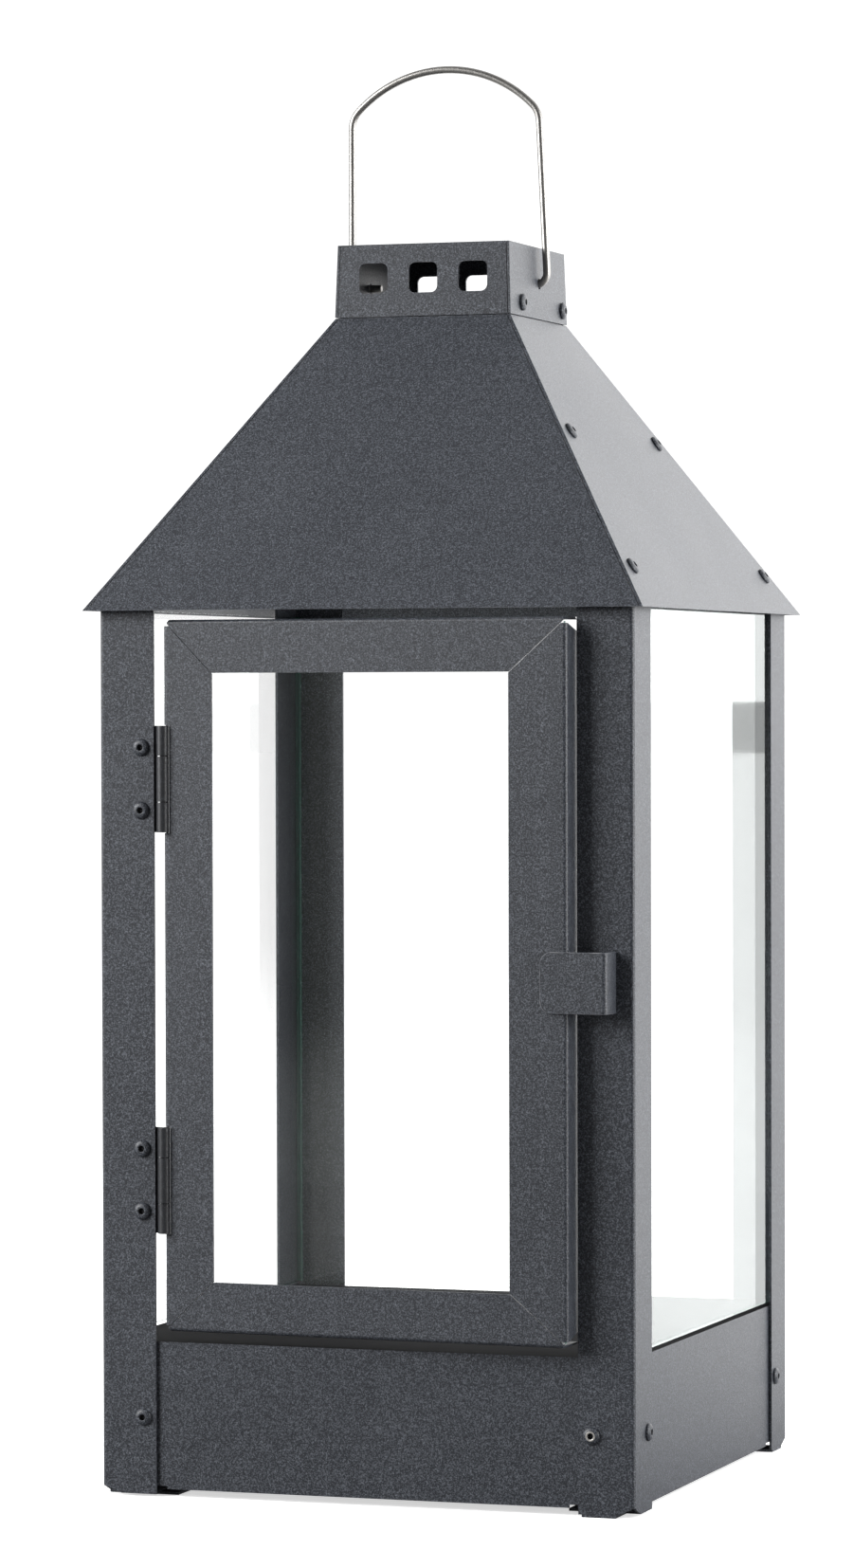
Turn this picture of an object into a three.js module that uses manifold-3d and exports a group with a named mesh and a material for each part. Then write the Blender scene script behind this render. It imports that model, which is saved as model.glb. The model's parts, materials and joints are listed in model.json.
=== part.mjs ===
// Candle lantern: a square sheet-steel body on four corner posts, glazed on all
// sides, with a hinged front door, a pyramid roof, a vented cap and a wire bail.
// Millimetres, +Z up. The origin is on the lantern's centre line at the
// underside of its feet, and the door faces -Y.
import * as THREE from "three";
import { mergeVertices } from "three/addons/utils/BufferGeometryUtils.js";
import Module from "manifold-3d";

const wasm = await Module();
wasm.setup();

// ---- Driving dimensions ----
const BODY_WIDTH = 210; // over the outer faces of the corner posts
const EAVE_Z = 333.5; // underside of the roof's edge
const SHEET = 1; // thickness of all the steel sheet
const BEND_RADIUS = 1.5; // outer radius of a bend
const FIT = 0.3; // clearance between neighbouring pieces

const POST_FLANGE = 21.8; // width of each side of a corner post
const FOOT_TAB_LENGTH = 27.7; // inward reach of the tabs under each post
const FOOT_TAB_WIDTH = 13;
const FOOT_CHAMFER = { width: 7.5, height: 3 };
const HEAD_TAB = { inset: 4, width: 14, height: 13 }; // post's tab under the roof

const FLOOR_Z = 58.5; // top face of the tray
const SKIRT_BOTTOM = 3;
const SKIRT_NOTCH = { width: 4, height: 1.2 }; // beside each post, at the bottom

const EAVE_OVERHANG = 5; // roof's edge beyond the posts
const ROOF_RISE = 113;
const HIP_FLANGE = 20; // folded edge of the front and back roof panels
const HIP_FLANGE_END = 7; // flange stops this far below the roof's top
const UPSTAND = { front: 28, back: 33.2, height: 9.5, root: 2 };

const CAP_WIDTH = 71;
const CAP_HEIGHT = 27.7;
const CAP_TAPER = 0.9; // each side of the cap leans in by this much
const VENT = { size: 11.6, radius: 2.5, pitch: 20.1, height: 14.7, count: 3 };

const GLASS = 2; // pane thickness
const GLASS_TOP = 0.5; // panes rise this far above the eave
const PANE_LIFT = 1.6; // gap between a pane's foot and the tray

const DOOR_GAP = { left: 3.8, right: 0.8, bottom: 4.3, top: 3.5 };
const DOOR_DEPTH = 15; // how far the folded returns reach back
const STILE = { left: 19.9, right: 22.9 };
const RAIL = { bottom: 19, top: 20 };
const STILE_SHORT = 2.3; // a stile stops this far from the door's corner
const RAIL_CORNER = { inset: 1.1, width: 1, height: 2 };
const RETURN_SLANT = 4.3; // the returns' ends are cut slanting by this height

const HINGE_HEIGHT = 40;
const HINGE_KNUCKLE = 17; // length of the door's knuckle, in the middle
const HINGE_INSET = { bottom: 56.7, top: 59.7 }; // door's end to hinge centre
const HINGE_AXIS = { inset: 3.7, forward: 0.35 }; // from the post's inner edge
const BARREL_RADIUS = 2.3;
const PIN_RADIUS = 1;
const PIN_CLEARANCE = 0.15;
const LEAF = { thickness: 0.9, width: 18.5, doorWidth: 12.5 };
const HINGE_RIVET_PITCH = 23.6;

const LATCH = { width: 25.9, height: 22.6, depth: 10.9, thickness: 1.2 };
const LATCH_REACH = 15.6; // latch's corner beyond the door's free edge
const LATCH_CORNER = 4.5;
const LATCH_RISE = 133.6; // door's bottom to the latch's centre

const WIRE_RADIUS = 1.5;
const BAIL = { leftGap: 6, rightGap: 2.9, lean: 3.4, pivotY: 1.5, pivotRise: 13.7 };
const BAIL_ARCH = { skew: 0.2, bulge: 12, rise: 84 }; // arch's top above the pivot
const BAIL_END = 6; // length of each end inside the cap
const BAIL_FILLET = { shoulder: 9, end: 4.5 };

const RIVET_INSET = 16.7; // from the body's corner to a post's rivets
const SKIRT_RIVET_Z = 30;
const ROOF_RIVET_RISES = [15.1, 66.8];
const ROOF_RIVET_INSET = 9.7; // from the hip
const CAP_RIVET_Y = [-21.1, 29.3];
const CAP_RIVET_RISE = 5.2;
const RIVET = { head: 3.3, dome: 1.2, shank: 1.6, seat: 0.1, grip: 4 };
const RIVET_SIDES = 8;

// ---- Values worked out from them ----
const HALF = BODY_WIDTH / 2;
const INNER = HALF - SHEET; // inner face of a post
const POST_EDGE = HALF - POST_FLANGE;
const TRAY_HALF = INNER - FIT;
const EAVE_HALF = HALF + EAVE_OVERHANG;
const CAP_HALF = CAP_WIDTH / 2;
const ROOF_TOP_Z = EAVE_Z + ROOF_RISE;
const ROOF_TOP_HALF = CAP_HALF - 0.4 * SHEET;
const ROOF_LEAN = (EAVE_HALF - ROOF_TOP_HALF) / ROOF_RISE; // inward per unit of height
const ROOF_ANGLE = Math.atan2(1, ROOF_LEAN); // above the horizontal
const CAP_TOP_Z = ROOF_TOP_Z + CAP_HEIGHT;
const RIVET_HOLE = RIVET.shank + PIN_CLEARANCE;
const FAR = 4 * BODY_WIDTH; // longer than any piece

// Height at which a sheet folded along the roof's underside meets the post's face.
const POST_TOP = EAVE_Z + (EAVE_OVERHANG - (SHEET + FIT) / Math.sin(ROOF_ANGLE)) / ROOF_LEAN;

const DOOR = {
  left: -POST_EDGE + DOOR_GAP.left,
  right: POST_EDGE - DOOR_GAP.right,
  bottom: FLOOR_Z + DOOR_GAP.bottom,
  top: EAVE_Z - DOOR_GAP.top,
};
const WINDOW = {
  left: DOOR.left + STILE.left,
  right: DOOR.right - STILE.right,
  bottom: DOOR.bottom + RAIL.bottom,
  top: DOOR.top - RAIL.top,
};
const HINGE_X = -POST_EDGE + HINGE_AXIS.inset;
const HINGE_Y = -HALF - HINGE_AXIS.forward;
const HINGES = [
  ["lower", DOOR.bottom + HINGE_INSET.bottom],
  ["upper", DOOR.top - HINGE_INSET.top],
];
const LATCH_RIGHT = DOOR.right + LATCH_REACH;
const LATCH_FACE = -HALF - RIVET.seat - LATCH.thickness;

// The door stands open by the angle at which the latch's tab rests on the post.
const tabX = LATCH_RIGHT - LATCH.thickness - HINGE_X;
const tabY = LATCH_FACE + LATCH.depth - HINGE_Y;
const tabClear = (HINGE_AXIS.forward - FIT) / Math.hypot(tabX, tabY);
const DOOR_AJAR = Math.atan2(tabY, tabX) - Math.asin(tabClear);

// ---- Materials ----
const steel = { color: 0x4b4d52, roughness: 0.55, metalness: 0.3 };
const finishes = {
  coat: steel,
  bright: { color: 0xb9bcbf, roughness: 0.3, metalness: 1 },
  glass: { color: 0xe8f2ef, roughness: 0.05, metalness: 0, transparent: true, opacity: 0.3 },
};

// ---- Solids ----
function toSolid(geometry) {
  const bare = geometry.clone();
  bare.deleteAttribute("normal");
  bare.deleteAttribute("uv");
  const merged = mergeVertices(bare, 1e-4);
  const corners = merged.index.array;
  const triangles = [];
  for (let i = 0; i < corners.length; i += 3) {
    const [a, b, c] = [corners[i], corners[i + 1], corners[i + 2]];
    if (a !== b && b !== c && c !== a) triangles.push(a, b, c);
  }
  return new wasm.Manifold(new wasm.Mesh({
    numProp: 3,
    vertProperties: Float32Array.from(merged.attributes.position.array),
    triVerts: Uint32Array.from(triangles),
  }));
}

function toGeometry(solid) {
  const mesh = solid.getMesh();
  const geometry = new THREE.BufferGeometry();
  geometry.setAttribute("position", new THREE.BufferAttribute(mesh.vertProperties, 3));
  geometry.setIndex(new THREE.BufferAttribute(mesh.triVerts, 1));
  geometry.computeVertexNormals();
  return geometry;
}

function box(x, y, z) {
  const geometry = new THREE.BoxGeometry(x[1] - x[0], y[1] - y[0], z[1] - z[0]);
  geometry.translate((x[0] + x[1]) / 2, (y[0] + y[1]) / 2, (z[0] + z[1]) / 2);
  return toSolid(geometry);
}

// Turns a shape drawn in X and Y so that it is extruded along X, Y or Z.
const directions = {
  x: new THREE.Matrix4().set(0, 0, 1, 0, 1, 0, 0, 0, 0, 1, 0, 0, 0, 0, 0, 1),
  y: new THREE.Matrix4().set(1, 0, 0, 0, 0, 0, -1, 0, 0, 1, 0, 0, 0, 0, 0, 1),
  z: new THREE.Matrix4(),
};

// Extrudes a shape along an axis, over the span from the first value to the second.
// Along x the shape holds (y, z), along y it holds (x, z), along z it holds (x, y).
function extrude(shape, axis, span, curveSegments = 4) {
  const depth = span[1] - span[0];
  const geometry = new THREE.ExtrudeGeometry(shape, { depth, bevelEnabled: false, curveSegments });
  geometry.translate(0, 0, axis === "y" ? -span[1] : span[0]);
  geometry.applyMatrix4(directions[axis]);
  return toSolid(geometry);
}

function outline(points) {
  return new THREE.Shape(points.map(([a, b]) => new THREE.Vector2(a, b)));
}

function rod(radius, axis, at, span, sides = 12) {
  const circle = new THREE.Shape().absarc(at[0], at[1], radius, 0, 2 * Math.PI);
  return extrude(circle, axis, span, sides / 2);
}

// A prism whose half width changes evenly with height, running far along one axis.
function taper(axis, halfLow, halfHigh, low, high) {
  const across = axis === "x" ? "y" : "x";
  const shape = outline([[-halfLow, low], [halfLow, low], [halfHigh, high], [-halfHigh, high]]);
  return extrude(shape, across, [-FAR, FAR]);
}

// Everything inside the roof's two slopes that face along an axis, set in by a depth.
function underRoof(axis, inset) {
  const low = EAVE_Z - 4 * EAVE_OVERHANG;
  const high = ROOF_TOP_Z + CAP_HEIGHT / 2;
  const half = (z) => EAVE_HALF - ROOF_LEAN * (z - EAVE_Z) - inset / Math.sin(ROOF_ANGLE);
  return taper(axis, half(low), half(high), low, high);
}

function insideCap(axis, inset) {
  return taper(axis, CAP_HALF - inset, CAP_HALF - CAP_TAPER - inset, ROOF_TOP_Z, CAP_TOP_Z);
}

function heightBand(low, high) {
  return box([-FAR, FAR], [-FAR, FAR], [low, high]);
}

// An L section with a rounded bend at (0, 0) and its sides along +X and +Y.
function angleSection(width, depth) {
  const inner = BEND_RADIUS - SHEET;
  const shape = new THREE.Shape();
  shape.moveTo(BEND_RADIUS, 0);
  shape.lineTo(width, 0);
  shape.lineTo(width, SHEET);
  shape.lineTo(BEND_RADIUS, SHEET);
  shape.absarc(BEND_RADIUS, BEND_RADIUS, inner, 1.5 * Math.PI, Math.PI, true);
  shape.lineTo(SHEET, depth);
  shape.lineTo(0, depth);
  shape.lineTo(0, BEND_RADIUS);
  shape.absarc(BEND_RADIUS, BEND_RADIUS, BEND_RADIUS, Math.PI, 1.5 * Math.PI, false);
  return shape;
}

function moved(shape, x, y, mirrorX = 1, mirrorY = 1) {
  const points = shape.getPoints(4).map((p) => [x + mirrorX * p.x, y + mirrorY * p.y]);
  return outline(points);
}

// ---- Assembly helpers ----
const lantern = new THREE.Group();
const door = new THREE.Group();
door.position.set(HINGE_X, HINGE_Y, 0);
door.rotation.z = -DOOR_AJAR;
lantern.add(door);

function place(name, geometry, finish, parent = lantern) {
  const mesh = new THREE.Mesh(geometry, new THREE.MeshStandardMaterial(finishes[finish]));
  mesh.name = name;
  if (parent === door) geometry.translate(-HINGE_X, -HINGE_Y, 0);
  parent.add(mesh);
  return mesh;
}

// ---- Corner posts ----
// The post at the front left corner, with its front flange along +X. The others
// are this one turned by quarters, so the flange under the roof's front or back
// panel is the first one on two posts and the second one on the other two.
function cornerPost(headOnFirst, hingeHoles) {
  const foot = SHEET;
  const post = extrude(moved(angleSection(POST_FLANGE, POST_FLANGE), -HALF, -HALF), "z", [foot, POST_TOP]);
  const tabStart = -HALF + FOOT_CHAMFER.width;
  const across = [tabStart, tabStart + FOOT_TAB_WIDTH];
  const reach = [-HALF, -HALF + FOOT_TAB_LENGTH];
  const lowTab = box(reach, across, [0, foot]);
  const lowFold = box([-HALF, -INNER], across, [0, 2 * foot]);
  const highTab = box(across, reach, [foot, 2 * foot]);
  let solid = post.add(lowTab).add(lowFold).add(highTab);
  const chamfer = outline([
    [-HALF - 1, foot - 1],
    [-HALF + FOOT_CHAMFER.width, foot - 1],
    [-HALF + FOOT_CHAMFER.width, foot],
    [-HALF, foot + FOOT_CHAMFER.height],
    [-HALF - 1, foot + FOOT_CHAMFER.height],
  ]);
  const bend = [-HALF - 1, -HALF + BEND_RADIUS];
  solid = solid.subtract(extrude(chamfer, "y", bend)).subtract(extrude(chamfer, "x", bend));

  const slope = headOnFirst ? "y" : "x";
  const aside = headOnFirst ? "x" : "y";
  const tabSpan = [-HALF + HEAD_TAB.inset, -HALF + HEAD_TAB.inset + HEAD_TAB.width];
  const tabDepth = [-HALF, 0];
  const tabHeight = [POST_TOP - SHEET, POST_TOP + HEAD_TAB.height];
  const tabBox = headOnFirst ? box(tabSpan, tabDepth, tabHeight) : box(tabDepth, tabSpan, tabHeight);
  const head = underRoof(slope, SHEET + FIT)
    .subtract(underRoof(slope, 2 * SHEET + FIT))
    .intersect(underRoof(aside, 2 * (SHEET + FIT)))
    .intersect(tabBox);
  solid = solid.add(head);

  const rivetAt = -HALF + RIVET_INSET;
  const through = [-HALF - 1, -INNER + 1];
  solid = solid.subtract(rod(RIVET_HOLE, "y", [rivetAt, SKIRT_RIVET_Z], through));
  solid = solid.subtract(rod(RIVET_HOLE, "x", [rivetAt, SKIRT_RIVET_Z], through));
  for (const z of hingeHoles) {
    solid = solid.subtract(rod(RIVET_HOLE, "y", [rivetAt, z], through));
  }
  return toGeometry(solid);
}

const hingeRivetHeights = HINGES.flatMap(([, z]) => [z - HINGE_RIVET_PITCH / 2, z + HINGE_RIVET_PITCH / 2]);
const corners = ["front_left", "front_right", "rear_right", "rear_left"];
corners.forEach((corner, turn) => {
  const geometry = cornerPost(turn % 2 === 0, turn === 0 ? hingeRivetHeights : []);
  const post = place(`post_${corner}`, geometry, "coat");
  post.rotation.z = (turn * Math.PI) / 2;
});

// ---- Base tray ----
function baseTray() {
  const side = TRAY_HALF;
  let solid = box([-side, side], [-side, side], [FLOOR_Z - SHEET, FLOOR_Z]);
  const width = side - BEND_RADIUS;
  const narrow = POST_EDGE - SKIRT_NOTCH.width;
  const notchTop = SKIRT_BOTTOM + SKIRT_NOTCH.height;
  for (const turn of [-1, 1]) {
    const wall = turn < 0 ? [-side, -side + SHEET] : [side - SHEET, side];
    solid = solid.add(box([-width, width], wall, [notchTop, FLOOR_Z]));
    solid = solid.add(box([-narrow, narrow], wall, [SKIRT_BOTTOM, notchTop + 1]));
    solid = solid.add(box(wall, [-width, width], [notchTop, FLOOR_Z]));
    solid = solid.add(box(wall, [-narrow, narrow], [SKIRT_BOTTOM, notchTop + 1]));
  }
  for (const at of [-HALF + RIVET_INSET, HALF - RIVET_INSET]) {
    solid = solid.subtract(rod(RIVET_HOLE, "y", [at, SKIRT_RIVET_Z], [-FAR, FAR]));
    solid = solid.subtract(rod(RIVET_HOLE, "x", [at, SKIRT_RIVET_Z], [-FAR, FAR]));
  }
  return toGeometry(solid);
}
place("base_tray", baseTray(), "coat");

// ---- Roof ----
const roofBand = heightBand(EAVE_Z, ROOF_TOP_Z - FIT);

// Front or back panel, with a flange folded under each side panel.
function endPanel(side) {
  const half = side < 0 ? box([-FAR, FAR], [-FAR, 0], [0, FAR]) : box([-FAR, FAR], [0, FAR], [0, FAR]);
  const sheet = underRoof("y", 0).subtract(underRoof("y", SHEET))
    .intersect(underRoof("x", SHEET + FIT))
    .intersect(roofBand);
  const flanges = underRoof("x", SHEET + FIT).subtract(underRoof("x", 2 * SHEET + FIT))
    .intersect(underRoof("y", 0).subtract(underRoof("y", HIP_FLANGE * Math.sin(ROOF_ANGLE))))
    .intersect(heightBand(POST_TOP + SHEET, ROOF_TOP_Z - HIP_FLANGE_END));
  return sheet.add(flanges).intersect(half);
}

// Left or right panel, with the upstand that the cap is riveted to.
function sidePanel(side) {
  const half = side < 0 ? box([-FAR, 0], [-FAR, FAR], [0, FAR]) : box([0, FAR], [-FAR, FAR], [0, FAR]);
  const sheet = underRoof("x", 0).subtract(underRoof("x", SHEET))
    .intersect(underRoof("y", 0))
    .intersect(roofBand);
  const outer = CAP_HALF - (CAP_TAPER * UPSTAND.height) / CAP_HEIGHT - SHEET - FIT;
  const inner = outer - 1.2 * SHEET;
  const run = [-UPSTAND.front, UPSTAND.back];
  const base = ROOF_TOP_Z - FIT - UPSTAND.root;
  const root = box([inner, FAR], run, [base, ROOF_TOP_Z - FIT]).intersect(underRoof("x", 0));
  const upstand = box([inner, outer], run, [base, ROOF_TOP_Z + UPSTAND.height]);
  let fold = root.add(upstand);
  if (side < 0) {
    const rootLeft = box([-FAR, -inner], run, [base, ROOF_TOP_Z - FIT]).intersect(underRoof("x", 0));
    fold = rootLeft.add(box([-outer, -inner], run, [base, ROOF_TOP_Z + UPSTAND.height]));
  }
  return sheet.add(fold).intersect(half);
}

// Where a rivet sits on a side panel, and the direction it faces.
function roofRivetPlaces(side) {
  const facing = new THREE.Vector3(side * Math.sin(ROOF_ANGLE), 0, Math.cos(ROOF_ANGLE));
  return ROOF_RIVET_RISES.flatMap((rise) => {
    const half = EAVE_HALF - ROOF_LEAN * rise;
    return [-1, 1].map((end) => ({
      at: new THREE.Vector3(side * half, end * (half - ROOF_RIVET_INSET), EAVE_Z + rise),
      facing,
    }));
  });
}

function turnTo(geometry, facing, at) {
  const turn = new THREE.Quaternion().setFromUnitVectors(new THREE.Vector3(0, 0, 1), facing);
  geometry.applyQuaternion(turn);
  geometry.translate(at.x, at.y, at.z);
  return geometry;
}

function holeAt({ at, facing }) {
  const cutter = new THREE.CylinderGeometry(RIVET_HOLE, RIVET_HOLE, 4 * RIVET.grip, 12);
  cutter.rotateX(Math.PI / 2);
  return toSolid(turnTo(cutter, facing, at));
}

const roofRivets = [-1, 1].flatMap(roofRivetPlaces);
function drilled(solid, places) {
  return places.reduce((left, spot) => left.subtract(holeAt(spot)), solid);
}

const capRivets = [-1, 1].flatMap((side) => CAP_RIVET_Y.map((y) => ({
  at: new THREE.Vector3(side * CAP_HALF, y, ROOF_TOP_Z + CAP_RIVET_RISE),
  facing: new THREE.Vector3(side, 0, 0),
})));

place("roof_front", toGeometry(drilled(endPanel(-1), roofRivets)), "coat");
place("roof_back", toGeometry(drilled(endPanel(1), roofRivets)), "coat");
place("roof_left", toGeometry(drilled(sidePanel(-1), [...roofRivets, ...capRivets])), "coat");
place("roof_right", toGeometry(drilled(sidePanel(1), [...roofRivets, ...capRivets])), "coat");

// ---- Vent cap ----
function ventOutline(x, z) {
  const half = VENT.size / 2;
  const r = VENT.radius;
  const shape = new THREE.Shape();
  shape.absarc(x + half - r, z + half - r, r, 0, 0.5 * Math.PI);
  shape.absarc(x - half + r, z + half - r, r, 0.5 * Math.PI, Math.PI);
  shape.absarc(x - half + r, z - half + r, r, Math.PI, 1.5 * Math.PI);
  shape.absarc(x + half - r, z - half + r, r, 1.5 * Math.PI, 2 * Math.PI);
  return shape;
}

function capShell() {
  const inside = insideCap("y", SHEET).intersect(heightBand(0, CAP_TOP_Z - SHEET));
  let solid = insideCap("y", 0).subtract(inside).intersect(insideCap("x", SHEET + FIT));
  for (let i = 0; i < VENT.count; i += 1) {
    const x = (i - (VENT.count - 1) / 2) * VENT.pitch;
    solid = solid.subtract(extrude(ventOutline(x, ROOF_TOP_Z + VENT.height), "y", [-FAR, FAR], 3));
  }
  return toGeometry(solid);
}

const PIVOT_Z = ROOF_TOP_Z + BAIL.pivotRise;
function capSide(side) {
  const half = side < 0 ? [-FAR, 0] : [0, FAR];
  const plate = insideCap("x", 0).subtract(insideCap("x", SHEET))
    .intersect(insideCap("y", 0))
    .intersect(box(half, [-FAR, FAR], [0, FAR]));
  const pivotHole = rod(WIRE_RADIUS + 2 * FIT, "x", [BAIL.pivotY, PIVOT_Z], [-FAR, FAR]);
  return toGeometry(drilled(plate.subtract(pivotHole), capRivets));
}
place("cap_shell", capShell(), "coat");
place("cap_side_left", capSide(-1), "coat");
place("cap_side_right", capSide(1), "coat");

// ---- Glass panes ----
function pane(x, y, z) {
  const geometry = new THREE.BoxGeometry(x[1] - x[0], y[1] - y[0], z[1] - z[0]);
  return geometry.translate((x[0] + x[1]) / 2, (y[0] + y[1]) / 2, (z[0] + z[1]) / 2);
}
const paneHeight = [FLOOR_Z + PANE_LIFT, EAVE_Z + GLASS_TOP];
const paneFace = INNER - FIT;
const sideRun = [-paneFace + FIT, paneFace - FIT];
const backRun = [-paneFace + GLASS + FIT, paneFace - GLASS - FIT];
place("pane_left", pane([-paneFace, -paneFace + GLASS], sideRun, paneHeight), "glass");
place("pane_right", pane([paneFace - GLASS, paneFace], sideRun, paneHeight), "glass");
place("pane_back", pane(backRun, [paneFace - GLASS, paneFace], paneHeight), "glass");

// ---- Door ----
// Its pieces are drawn closed, flush with the posts, and the group swings them open.
function railOutline() {
  const { inset, width, height } = RAIL_CORNER;
  const [left, right] = [DOOR.left + inset, DOOR.right - inset];
  return outline([
    [left + width, DOOR.bottom],
    [right - width, DOOR.bottom],
    [right, DOOR.bottom + height],
    [right, DOOR.top - height],
    [right - width, DOOR.top],
    [left + width, DOOR.top],
    [left, DOOR.top - height],
    [left, DOOR.bottom + height],
  ]);
}

const doorSpan = [-HALF - 1, -HALF + DOOR_DEPTH + 1];
const railBlank = extrude(railOutline(), "y", doorSpan);

// The mitred region of one stile, kept clear of the rails by a small gap.
function stileRegion(outer, inner) {
  const gap = FIT;
  return extrude(outline([
    [outer, DOOR.bottom + gap],
    [inner, WINDOW.bottom + gap],
    [inner, WINDOW.top - gap],
    [outer, DOOR.top - gap],
  ]), "y", doorSpan);
}

function slantCuts() {
  const front = -HALF + BEND_RADIUS;
  const back = -HALF + DOOR_DEPTH + 1;
  const low = outline([
    [front, DOOR.bottom - 1],
    [back, DOOR.bottom - 1],
    [back, DOOR.bottom + STILE_SHORT + RETURN_SLANT],
    [front, DOOR.bottom + STILE_SHORT],
  ]);
  const high = outline([
    [front, DOOR.top + 1],
    [front, DOOR.top - STILE_SHORT],
    [back, DOOR.top - STILE_SHORT - RETURN_SLANT],
    [back, DOOR.top + 1],
  ]);
  return extrude(low, "x", [-FAR, FAR]).add(extrude(high, "x", [-FAR, FAR]));
}

function stile(side) {
  const left = side === "left";
  const edge = left ? DOOR.left : DOOR.right;
  const section = moved(angleSection(STILE[side], DOOR_DEPTH), edge, -HALF, left ? 1 : -1);
  let solid = extrude(section, "z", [DOOR.bottom + STILE_SHORT, DOOR.top - STILE_SHORT])
    .intersect(stileRegion(edge, WINDOW[side]))
    .subtract(slantCuts());
  if (left) {
    for (const [, z] of HINGES) {
      const reach = HINGE_HEIGHT / 2 + FIT;
      const clearance = BARREL_RADIUS + FIT;
      solid = solid.subtract(rod(clearance, "z", [HINGE_X, HINGE_Y], [z - reach, z + reach], 24));
    }
  }
  return toGeometry(solid);
}

function rail(end) {
  const top = end === "top";
  const edge = DOOR[end];
  const section = moved(angleSection(DOOR_DEPTH, RAIL[end]), -HALF, edge, 1, top ? -1 : 1);
  const region = extrude(outline([
    [DOOR.left, edge],
    [DOOR.right, edge],
    [WINDOW.right, WINDOW[end]],
    [WINDOW.left, WINDOW[end]],
  ]), "y", doorSpan);
  const inset = SHEET + FIT;
  const between = box([DOOR.left + inset, DOOR.right - inset], doorSpan, [0, FAR]);
  const face = box([-FAR, FAR], [doorSpan[0], -INNER], [0, FAR]);
  const solid = extrude(section, "x", [DOOR.left, DOOR.right])
    .intersect(railBlank)
    .intersect(region.intersect(face).add(between.intersect(region)));
  return toGeometry(solid);
}

place("door_stile_left", stile("left"), "coat", door);
place("door_stile_right", stile("right"), "coat", door);
place("door_rail_top", rail("top"), "coat", door);
place("door_rail_bottom", rail("bottom"), "coat", door);

const glassInset = SHEET + 2 * FIT;
const hingeClear = HINGE_X + BARREL_RADIUS + 2 * FIT;
const doorPaneX = [Math.max(DOOR.left + glassInset, hingeClear), DOOR.right - glassInset];
const doorPaneY = [-INNER + FIT, -INNER + FIT + GLASS];
const doorPaneZ = [DOOR.bottom + glassInset, DOOR.top - glassInset];
place("pane_door", pane(doorPaneX, doorPaneY, doorPaneZ), "glass", door);

// ---- Hinges ----
const leafBack = -INNER + FIT;
function knuckle(low, high) {
  const at = [HINGE_X, HINGE_Y];
  const bore = PIN_RADIUS + PIN_CLEARANCE;
  return rod(BARREL_RADIUS, "z", at, [low, high], 20).subtract(rod(bore, "z", at, [low - 1, high + 1]));
}

// Leaf riveted behind the post, with the two outer knuckles.
function postLeaf(z) {
  const [low, high] = [z - HINGE_HEIGHT / 2, z + HINGE_HEIGHT / 2];
  const [midLow, midHigh] = [z - HINGE_KNUCKLE / 2 - FIT, z + HINGE_KNUCKLE / 2 + FIT];
  const behind = [leafBack, leafBack + LEAF.thickness];
  const bore = rod(PIN_RADIUS + PIN_CLEARANCE, "z", [HINGE_X, HINGE_Y], [low - 1, high + 1]);
  let solid = box([HINGE_X - LEAF.width, HINGE_X], behind, [low, high])
    .add(knuckle(low, midLow))
    .add(knuckle(midHigh, high))
    .subtract(box([HINGE_X - BARREL_RADIUS - 2 * FIT, FAR], [-FAR, 0], [midLow, midHigh]))
    .subtract(bore);
  for (const offset of [-1, 1]) {
    const at = [-HALF + RIVET_INSET, z + (offset * HINGE_RIVET_PITCH) / 2];
    solid = solid.subtract(rod(RIVET_HOLE, "y", at, [-FAR, FAR]));
  }
  return toGeometry(solid);
}

// Leaf on the door's folded return, with the middle knuckle.
function doorLeaf(z) {
  const [low, high] = [z - HINGE_HEIGHT / 2, z + HINGE_HEIGHT / 2];
  const [midLow, midHigh] = [z - HINGE_KNUCKLE / 2, z + HINGE_KNUCKLE / 2];
  const face = DOOR.left - FIT / 2;
  const sheet = [face - LEAF.thickness, face];
  const clearOfPostLeaf = leafBack + LEAF.thickness + 2 * FIT;
  const plate = box(sheet, [clearOfPostLeaf, HINGE_Y + LEAF.doorWidth], [low, high]);
  const strap = box(sheet, [HINGE_Y + 2 * PIN_RADIUS, HINGE_Y + LEAF.doorWidth], [midLow, midHigh]);
  return toGeometry(plate.add(strap).add(knuckle(midLow, midHigh)));
}

function hingePin(z) {
  const pin = new THREE.CylinderGeometry(PIN_RADIUS, PIN_RADIUS, HINGE_HEIGHT, 12);
  return pin.rotateX(Math.PI / 2).translate(HINGE_X, HINGE_Y, z);
}

for (const [name, z] of HINGES) {
  place(`hinge_${name}_post_leaf`, postLeaf(z), "bright");
  place(`hinge_${name}_door_leaf`, doorLeaf(z), "bright", door);
  place(`hinge_${name}_pin`, hingePin(z), "bright");
}

// ---- Latch ----
// A small angle plate on the free stile, its tab folded back towards the post.
function latch() {
  const { width, height, depth, thickness } = LATCH;
  const bend = 1.6;
  const section = new THREE.Shape();
  const [left, right] = [LATCH_RIGHT - width, LATCH_RIGHT];
  const front = LATCH_FACE;
  section.moveTo(left, front);
  section.lineTo(right - bend, front);
  section.absarc(right - bend, front + bend, bend, 1.5 * Math.PI, 2 * Math.PI, false);
  section.lineTo(right, front + depth);
  section.lineTo(right - thickness, front + depth);
  section.lineTo(right - thickness, front + bend);
  section.absarc(right - bend, front + bend, bend - thickness, 0, 1.5 * Math.PI, true);
  section.lineTo(left, front + thickness);
  const low = DOOR.bottom + LATCH_RISE - height / 2;
  const r = LATCH_CORNER;
  const plate = new THREE.Shape();
  plate.absarc(left + r, low + r, r, Math.PI, 1.5 * Math.PI);
  plate.lineTo(right + 1, low);
  plate.lineTo(right + 1, low + height);
  plate.absarc(left + r, low + height - r, r, 0.5 * Math.PI, Math.PI);
  const angle = extrude(section, "z", [low, low + height], 5);
  return toGeometry(angle.intersect(extrude(plate, "y", [-FAR, 0], 6)));
}
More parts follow.
